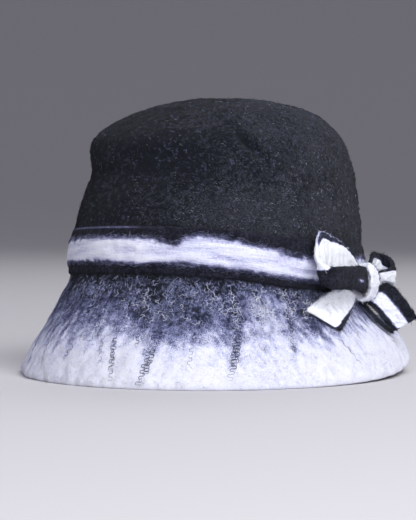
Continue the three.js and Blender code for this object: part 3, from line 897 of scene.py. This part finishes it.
# a dark strip under the back tail, along the brim's edge: partly the ribbon's dark margin come loose,
# partly a painted shadow of the tail
tailHemAndShadow = [
    (100.6, 46.8, 3.6, 100.6, 44.2, 2.4, 2), (102.3, 42.3, 4.2, 102.3, 39.5, 2.8, 2),
    (103.8, 36, 4, 103.8, 33.3, 2.6, 2), (105.3, 30.4, 3.8, 105.3, 28.1, 2.6, 2),
    (106.8, 27.2, 4.2, 106.8, 25.6, 3.2, 2),
]


# A white stripe between dark margins, its edges widened into soft lavender partly as painted shade, and
# the hem with its painted shadow all dark.
def buildBackTail():
    grid = stripGrid(stripRows(backTail), 120, bowShape["corners"], endRound=0.05)
    across = grid[2]
    # Painted shade: the wide soft edges lower the back tail's white, which lies partly in shade.
    share = 1.06 * smoothStep(across, -0.8, -0.52) * (1 - smoothStep(across, 0.06, 0.4))
    # Painted shadow: the dark hem strip stands partly for the tail's shadow along the brim.
    hemAndShadow = stripGrid(stripRows(tailHemAndShadow), 90, 16, endRound=0.05, blunt=0.9)
    buildStrips("bowTailBack", "bow_tail_back", [(grid, share, False, 0), (hemAndShadow, 0 * hemAndShadow[1], False, 0)], 57)


knotShape = {
    "azimuth": 97, "level": 57, "clear": 10.3, "height": 22.6, "depth": 13.4, "width": 17, "wall": 2.2,
    "stations": 12,
}


# The knot: ribbon wrapped once round the middle of the bow, along an oval of the knot's depth and height.
def buildKnot():
    angle = math.radians(knotShape["azimuth"])
    side = np.array([math.cos(angle), math.sin(angle), 0])
    out = np.array([math.sin(angle), -math.cos(angle), 0])
    centre = besideFelt(*(np.array([float(knotShape[key])]) for key in ("azimuth", "level", "clear")))[0]
    count, wall = knotShape["stations"], knotShape["wall"]
    turn = np.arange(count) * np.pi / (count / 2)
    deep, high = (knotShape["depth"] - wall) / 2, (knotShape["height"] - wall) / 2
    middle = centre + np.cos(turn)[:, None] * out * deep + np.sin(turn)[:, None] * np.array([0, 0, high])
    sides, widths = np.tile(side, (count, 1)), np.full(count, knotShape["width"])
    table = np.column_stack([middle, sides, widths, np.full(count, wall)])
    grid = stripGrid(table, 160, bowShape["corners"], closed=True)
    across = grid[2]
    share = bowShape["white"] * (1 - smoothStep(across, 0.72, 0.88))
    buildStrips("bowKnot", "bow_knot", [(grid, share, True, -0.35 * across**2)], 59)


buildFrontLoop()
buildBackLoop()
buildFrontTail()
buildBackTail()
buildKnot()

print("ribbon and bow ready")


# Thin three-sided tubes along many paths at once: path is (fibre, point, xyz), out the way off the surface,
# and radius tapers towards both ends.
def makeTubes(name, path, out, radius, material):
    count, points = path.shape[:2]
    forward = unit(np.gradient(path, axis=1))
    side = unit(np.cross(forward, out))
    out = np.cross(side, forward)
    taper = np.clip(np.sin(np.pi * (0.06 + 0.88 * np.linspace(0, 1, points))) * 1.5, 0, 1)
    thick = radius[:, None] * taper
    ring = np.radians([90, 210, 330])
    around = np.cos(ring)[:, None] * side[:, :, None] + np.sin(ring)[:, None] * out[:, :, None]
    tube = path[:, :, None] + thick[..., None, None] * around
    starts = np.arange(count)[:, None] * points * 3
    faces = (starts[..., None] + gridFaces(points, 3)[None]).reshape(-1, 4)
    caps = [starts + np.array([[0, 1, 2]]), starts + (points - 1) * 3 + np.array([[2, 1, 0]])]
    makePiece(name, tube, [faces, *caps], material)


# Kinds of fibre. Each range is drawn evenly: length, sway from side to side, thickness and height over what
# the fibre lies on, in mm. heading is its middle and spread in degrees, 0 down the felt and 90 round it, and
# None is any way. A fibre waves once in each pitch of its length, or as many times as waves says.
fibreKinds = {
    "paleCurls": {
        "count": 3500, "points": 10, "material": "paleFibre", "seed": 72, "rows": (12.1, 15.4),
        "length": (1.2, 3.8), "heading": (0, 70), "sway": (0.25, 0.55), "pitch": (1.5, 2.6),
        "radius": (0.06, 0.13), "clear": (0.05, 0.3),
    },
    "whiteCurls": {
        "count": 460, "points": 12, "material": "whiteFibre", "seed": 73, "rows": (12.2, 15.2),
        "length": (2.5, 6), "heading": (0, 60), "sway": (0.4, 0.9), "pitch": (2.0, 3.4),
        "radius": (0.1, 0.18), "clear": (0.05, 0.3),
    },
    "crownFlecks": {
        "count": 2600, "points": 5, "material": "greyFibre", "seed": 74, "rows": (0.7, 9.9),
        "length": (0.6, 2.2), "heading": (80, 36), "sway": (0.03, 0.16), "waves": (0.5, 1.2),
        "radius": (0.06, 0.15), "clear": (0.0, 0.12),
    },
    "crownFuzz": {
        "count": 2300, "points": 4, "material": "charcoalFibre", "seed": 75, "rows": (0.7, 10.2),
        "length": (1.2, 3.2), "heading": None, "sway": (0.05, 0.3), "waves": (0.5, 1.2),
        "radius": (0.05, 0.09), "clear": (0.2, 0.75),
    },
    "rimFuzz": {
        "count": 2400, "points": 4, "material": "whiteFibre", "seed": 76, "rows": (14.9, 15.95),
        "length": (1.2, 3.6), "heading": None, "sway": (0.1, 0.5), "waves": (0.6, 1.5),
        "radius": (0.06, 0.1), "clear": (0.2, 0.8),
    },
    "ribbonPaleFuzz": {
        "count": 1350, "points": 6, "material": "violetFibre", "seed": 92, "shift": 0.05,
        "length": (1.5, 5), "heading": (90, 32), "sway": (0.1, 0.4), "waves": (0.6, 1.6),
        "radius": (0.05, 0.1), "clear": (0.05, 0.3),
    },
    "ribbonDarkFuzz": {
        "count": 1350, "points": 6, "material": "darkFibre", "seed": 92, "shift": 0.02,
        "length": (1.5, 5), "heading": (90, 32), "sway": (0.1, 0.4), "waves": (0.6, 1.6),
        "radius": (0.05, 0.1), "clear": (0.05, 0.3),
    },
    "ribbonBindingFuzz": {
        "count": 1350, "points": 5, "material": "charcoalFibre", "seed": 94,
        "length": (1.5, 4), "heading": (0, 50), "sway": (0.1, 0.5), "waves": (0.6, 1.6),
        "radius": (0.06, 0.11), "clear": (0.1, 0.5),
    },
}


# A fibre's path: it starts at a row and an azimuth, runs its length in its heading, waves from side to side
# as a sum of sines and bends a little as a whole. Its height is a base, from the surface it lies on, and a
# few humps.
def layFibres(name, rng, row, azimuth, base=None):
    kind, count = fibreKinds[name], len(row)
    length = rng.uniform(*kind["length"], count)
    if kind["heading"] is None:
        heading = rng.uniform(-90, 90, count)
    else:
        middle, spread = kind["heading"]
        heading = middle + rng.normal(0, spread, count)
    wave = rng.uniform(*kind["sway"], count)[:, None]
    if "pitch" in kind:
        waves = length / rng.uniform(*kind["pitch"], count)
    else:
        waves = rng.uniform(*kind["waves"], count)
    radius, clear = rng.uniform(*kind["radius"], count), rng.uniform(*kind["clear"], count)
    bends = np.random.default_rng(kind["seed"])
    t = np.linspace(0, 1, kind["points"])[None]
    phase = bends.uniform(0, 2 * np.pi, (count, 1))
    angle = 2 * np.pi * waves[:, None]
    sway = wave * (np.sin(angle * t + phase) + 0.6 * np.sin(angle * 0.43 * t + 2 * phase))
    run = length[:, None] * (t - 0.5) + wave * 0.7 * np.cos(angle * 1.3 * t + 3 * phase)
    bend = bends.normal(0, 0.25, (count, 1)) * length[:, None] * (t - 0.5) ** 2 * 2
    way = np.radians(heading)[:, None]
    down = run * np.cos(way) - (sway + bend) * np.sin(way)
    aside = run * np.sin(way) + (sway + bend) * np.cos(way)
    step = feltBase(np.minimum(row + 0.1, rimRow), azimuth) - feltBase(row - 0.1, azimuth)
    perRow = np.linalg.norm(step, axis=-1) / 0.2
    perDegree = np.linalg.norm(feltBase(row, azimuth + 1) - feltBase(row, azimuth), axis=-1)
    rows = np.clip(row[:, None] + down / perRow[:, None], 0.3, rimRow - 0.02)
    azimuths = azimuth[:, None] + aside / perDegree[:, None]
    lift = clear[:, None] * (0.25 + np.abs(np.sin(np.pi * (t * 1.3 + phase)))) + radius[:, None] * 0.3
    if base is not None:
        lift = lift + base(rows, azimuths)
    material = fibreFelts[kind["material"]]
    makeTubes(name, overFelt(rows, azimuths, lift), outward(rows, azimuths), radius, material)


# Scatters places over the felt between two rows: spots are kept where a random number is under their weight.
def scatter(rng, count, rowLow, rowHigh, weight):
    rows, azimuths = np.zeros(0), np.zeros(0)
    while len(rows) < count:
        row, azimuth = rng.uniform(rowLow, rowHigh, 40000), rng.uniform(0, 360, 40000)
        keep = rng.uniform(0, 1, 40000) < weight(row, azimuth)
        rows, azimuths = np.concatenate([rows, row[keep]]), np.concatenate([azimuths, azimuth[keep]])
    return rows[:count], azimuths[:count]


# Pale curls lie where the brim is dark, fewer at the wearer's right.
def paleCurlWeight(row, azimuth):
    points = feltBase(row, azimuth)
    share = whiteShareAt(azimuth, points)
    away = 1 - 0.65 * bell((turnFrom(azimuth, 0) + 45) / 30)
    return smoothStep(0.95 - share, 0, 0.5) * away * np.clip(0.6 + 0.17 * softLumps(points, 12, 61), 0.08, 1)


# White curls gather in one place by the streaks in front, in a few beside it and at the back.
def whiteCurlWeight(row, azimuth):
    points = feltBase(row, azimuth)
    turned, level = turnFrom(azimuth, 0), points[..., 2]
    place = bell((turned - 50) / 9) * bell((level - 42) / 13)
    place = place + 0.12 * bell((turned - 20) / 34) * bell((level - 44) / 8)
    return np.clip(place + 0.5 * bell((turned - 190) / 30) * bell((level - 42) / 10), 0, 1)


# Flecks are thickest low on the crown's front left, and thin out at its top, and in its dents as painted
# shade.
def crownFleckWeight(row, azimuth):
    points = feltBase(row, azimuth)
    low = 0.1 + 0.9 * bell(turnFrom(azimuth, 40) / 36) * bell((points[..., 2] - 103) / 20)
    low = low + 0.2 * bell(turnFrom(azimuth, 75) / 60)
    near = np.clip(np.hypot(points[..., 0], points[..., 1]) / 90, 0, 1)
    return unpressed(points, azimuth) * np.clip(low, 0, 1) * near


# Fuzz stands on open felt, thinned in the dents as painted shade, and thins out towards the apex over six
# rows.
def crownFuzzWeight(row, azimuth):
    return unpressed(feltBase(row, azimuth), azimuth) * np.clip(row / 6, 0, 1)


# Every place alike.
def evenWeight(row, azimuth):
    return np.ones(row.shape)


# Each kind is scattered by its own weight and then laid, in this order.
def layBodyFibres():
    rng = np.random.default_rng(71)
    weights = {"paleCurls": paleCurlWeight, "whiteCurls": whiteCurlWeight, "crownFlecks": crownFleckWeight,
               "crownFuzz": crownFuzzWeight, "rimFuzz": evenWeight}
    for name, weight in weights.items():
        row, azimuth = scatter(rng, fibreKinds[name]["count"], *fibreKinds[name]["rows"], weight)
        layFibres(name, rng, row, azimuth)


layBodyFibres()

# Threads in the dark streaks: how many more a wide streak has, and how far from the hat's middle the brim is.
threadShape = {"perStreak": 2.8, "points": 120, "brimReach": 108, "pitch": (2.9, 4.2), "radius": (0.15, 0.22)}


# Crinkled threads run down each streak. Each keeps a place of its own across the streak and winds about it:
# aside as a sine of how far it has run, and up and down as a sine of twice that, so that its bends overhang.
def layStreaks():
    rng = np.random.default_rng(81)
    repeats = [int(round(1 + threadShape["perStreak"] * (row[4] - 1.8) / 3.2)) for row in streaks]
    table = np.repeat(np.array(streaks), repeats, axis=0)
    count = len(table)
    topAzimuth, topLevel, footAzimuth, footLevel, width, strength = table.T[..., None]
    start, reach = rng.uniform(-0.12, 0.12, (count, 1)), rng.uniform(0.8, 1.1, (count, 1))
    t = np.clip(start + reach * np.linspace(0, 1, threadShape["points"]), -0.15, 1.08)
    fall = (topLevel - footLevel) * t
    pitch = rng.uniform(*threadShape["pitch"], (count, 1))
    angle = 2 * np.pi * (fall / pitch + rng.uniform(0, 1, (count, 1)))
    winding = np.sin(angle) + 0.3 * np.sin(0.37 * angle)
    zig = (0.4 + 0.13 * width) * rng.uniform(1.0, 1.6, (count, 1)) * winding
    aside = rng.uniform(-0.42, 0.42, (count, 1)) * width * (1.1 - 0.4 * np.clip(t, 0, 1)) + zig
    azimuth = topAzimuth + (footAzimuth - topAzimuth) * t + np.degrees(aside / threadShape["brimReach"])
    level = topLevel - fall + 0.12 * pitch * np.sin(2 * angle)
    rows = rowAtLevel(azimuth, np.maximum(level, 2.2))
    radius = rng.uniform(*threadShape["radius"], count) * (0.65 + 0.45 * strength[:, 0])
    path = overFelt(rows, azimuth, 0.12 + 0.2 * np.abs(np.sin(angle / 3)))
    makeTubes("streakThreads", path, outward(rows, azimuth), radius, fibreFelts["slateFibre"])


layStreaks()


# How far the ribbon's face stands off the felt, less a little, so that fibres are bedded in it.
def bandBase(rows, azimuths):
    across = np.clip((rows - ribbonTopRow) / (ribbonFootRow - ribbonTopRow), 0, 1)
    return bandShape["gap"] + bandShape["wall"] * bandThickness(across) - 0.1


# Fibres that stray over the edges of the ribbon's white, pale ones onto the dark and dark ones onto the pale.
def layRibbonFibres():
    rng = np.random.default_rng(91)
    for name in ("ribbonPaleFuzz", "ribbonDarkFuzz"):
        count, shift = fibreKinds[name]["count"], fibreKinds[name]["shift"]
        azimuth = rng.uniform(-180, 180, count)
        top = rng.uniform(0, 1, count) < 0.5
        upper, lower = (np.interp(azimuth, bandWhite[:, 0], bandWhite[:, k]) for k in (1, 2))
        across = np.where(top, upper - shift, lower + shift) + rng.normal(0, 0.022, count)
        layFibres(name, rng, bandRow(across), azimuth, bandBase)


layRibbonFibres()


# Dark fibres also bind the ribbon's own edges to the felt: they start by an edge and run out over the felt.
def layBindingFibres():
    rng = np.random.default_rng(93)
    count = fibreKinds["ribbonBindingFuzz"]["count"]
    foot = rng.uniform(0, 1, count) < 0.7
    across = np.where(foot, 1.02, -0.02) + rng.normal(0, 0.03, count)
    layFibres("ribbonBindingFuzz", rng, bandRow(across), rng.uniform(-180, 180, count))


layBindingFibres()

bowFuzz = {"perStrip": 850, "points": 4, "length": (0.9, 3.1), "outward": (0.1, 0.9), "radius": (0.06, 0.12)}


# Stray fibres stand off the bow, most of them at the edges of its ribbon: each leaves the surface along the
# ribbon's length, turned a little aside and outward, pale from the white and dark from the dark.
def layBowFibres():
    rng = np.random.default_rng(97)
    n = bowFuzz["perStrip"]
    paths, outs, pales = [], [], []
    for (points, _, across, facing, face, side), share in bowSurfaces:
        weight = 0.15 + 1.0 * (np.abs(across) > 0.8)
        chosen = rng.choice(weight.size, n, p=(weight / weight.sum()).ravel())
        i, j = np.unravel_index(chosen, weight.shape)
        forward = unit(np.gradient(points, axis=0))[i, j]
        out = unit(face * facing[..., None] + side * across[..., None])[i, j]
        way = np.where(rng.random(n) < 0.5, 1, -1)[:, None] * forward
        way = way + np.cross(out, forward) * rng.normal(0, 0.6, (n, 1))
        way = unit(way + out * rng.uniform(*bowFuzz["outward"], (n, 1)))
        t = np.linspace(-0.35, 1, bowFuzz["points"])[None, :, None]
        curl = out * rng.uniform(-0.3, 0.3, (n, 1)) + np.cross(out, way) * rng.normal(0, 0.3, (n, 1))
        run = way[:, None] * rng.uniform(*bowFuzz["length"], (n, 1, 1)) * t
        paths.append(points[i, j][:, None] + run + curl[:, None] * t**2)
        outs.append(np.repeat(out[:, None], bowFuzz["points"], axis=1))
        pales.append(share[i, j] > 0.5)
    path, out, pale = np.concatenate(paths), np.concatenate(outs), np.concatenate(pales)
    kinds = (("bowPaleFuzz", pale, "whiteFibre"), ("bowDarkFuzz", ~pale, "charcoalFibre"))
    for name, chosen, material in kinds:
        radius = rng.uniform(*bowFuzz["radius"], chosen.sum())
        makeTubes(name, path[chosen], out[chosen], radius, fibreFelts[material])


layBowFibres()
print("fibres laid")

# Floor and backdrop: a flat disc that sweeps up far away, all one surface.
studio = {"floor": (0.62, 0.61, 0.63), "reach": 2.6, "rise": 3.6, "rings": 12, "round": 96, "sweepRings": 24}


# Rings run out level to the reach, then outward as a sine and up as one less cosine, over a quarter turn.
def buildStudio():
    material, _, shader = startMaterial("studioFloor", sheen=0.0, roughness=0.9)
    shader.inputs["Base Color"].default_value = (*studio["floor"], 1)
    sweep, count = np.linspace(0, np.pi / 2, studio["sweepRings"])[1:], studio["round"]
    level = np.linspace(0.01, studio["reach"], studio["rings"])
    reach = np.concatenate([level, studio["reach"] + studio["rise"] * np.sin(sweep)])[:, None]
    height = np.concatenate([np.zeros(studio["rings"]), studio["rise"] * (1 - np.cos(sweep))])
    angle = np.linspace(0, 2 * np.pi, count, endpoint=False)
    heights = np.repeat(height[:, None], count, axis=1)
    points = np.stack([reach * np.cos(angle), reach * np.sin(angle), heights], axis=-1)
    mesh = bpy.data.meshes.new("studioFloor")
    faces = gridFaces(len(reach), count)[:, ::-1].tolist() + [list(range(count))]
    mesh.from_pydata(points.reshape(-1, 3).tolist(), [], faces)
    mesh.polygons.foreach_set("use_smooth", np.ones(len(mesh.polygons), dtype=bool))
    mesh.materials.append(material)
    floor = bpy.data.objects.new("studioFloor", mesh)
    bpy.context.scene.collection.objects.link(floor)


buildStudio()

# Soft lights: place as azimuth, elevation and distance from the hat, size, power and colour.
lights = {
    "keyLight": (60, 47, 2.0, 1.4, 33, (0.985, 0.985, 1.0)),
    "frontLight": (38, 13, 2.2, 1.5, 27, (0.94, 0.95, 1.0)),
    "leftLight": (-75, 28, 2.2, 1.4, 5, (0.86, 0.84, 1.0)),
    "backLight": (190, 50, 2.0, 1.4, 10, (1.0, 1.0, 1.0)),
}
air = {"colour": (0.82, 0.80, 0.95), "strength": 0.2, "aimHeight": 0.08}


# The way to an azimuth and an elevation, one long.
def directionTo(azimuth, elevation):
    a, e = math.radians(azimuth), math.radians(elevation)
    return Vector((math.sin(a) * math.cos(e), -math.cos(a) * math.cos(e), math.sin(e)))


# Each lamp is a disc at its place, turned to the middle of the hat, under a faint even air light.
def buildLights():
    aim = Vector((0, 0, air["aimHeight"]))
    for name, (azimuth, elevation, distance, size, power, colour) in lights.items():
        data = bpy.data.lights.new(name, "AREA")
        data.shape, data.size, data.energy, data.color = "DISK", size, power, colour
        lamp = bpy.data.objects.new(name, data)
        lamp.location = directionTo(azimuth, elevation) * distance + aim
        lamp.rotation_euler = (aim - lamp.location).to_track_quat("-Z", "Y").to_euler()
        lamp.visible_camera = False
        bpy.context.scene.collection.objects.link(lamp)
    world = bpy.data.worlds.new("studioAir")
    world.use_nodes = True
    background = world.node_tree.nodes["Background"]
    background.inputs["Color"].default_value = (*air["colour"], 1)
    background.inputs["Strength"].default_value = air["strength"]
    bpy.context.scene.world = world
    bpy.context.scene.view_settings.view_transform = "Standard"


buildLights()

# Camera: looks from the front left of the hat, just above its brim. turn, rise and roll are in degrees.
view = {"azimuth": 27.0, "elevation": 5.0, "distance": 1.3, "lens": 145.2, "sensor": 36.0, "turn": 0.246,
        "rise": 3.02, "roll": 0.5}


# The camera looks at the middle of the rim, then turns, rises and rolls by its own small angles.
def buildCamera():
    data = bpy.data.cameras.new("camera")
    data.lens, data.sensor_width = view["lens"], view["sensor"]
    data.clip_start, data.clip_end = 0.05, 50.0
    camera = bpy.data.objects.new("camera", data)
    rim = Vector((hatForm["middleX"] * millimetre, 0, 0))
    camera.location = rim + directionTo(view["azimuth"], view["elevation"]) * view["distance"]
    aim = (rim - camera.location).to_track_quat("-Z", "Y").to_matrix()
    turn, rise, roll = (Matrix.Rotation(math.radians(view[key]), 3, axis)
                        for key, axis in (("turn", "Y"), ("rise", "X"), ("roll", "Z")))
    camera.rotation_euler = (aim @ turn @ rise @ roll).to_euler()
    bpy.context.scene.collection.objects.link(camera)
    bpy.context.scene.camera = camera


buildCamera()
print("studio, lights and camera ready")
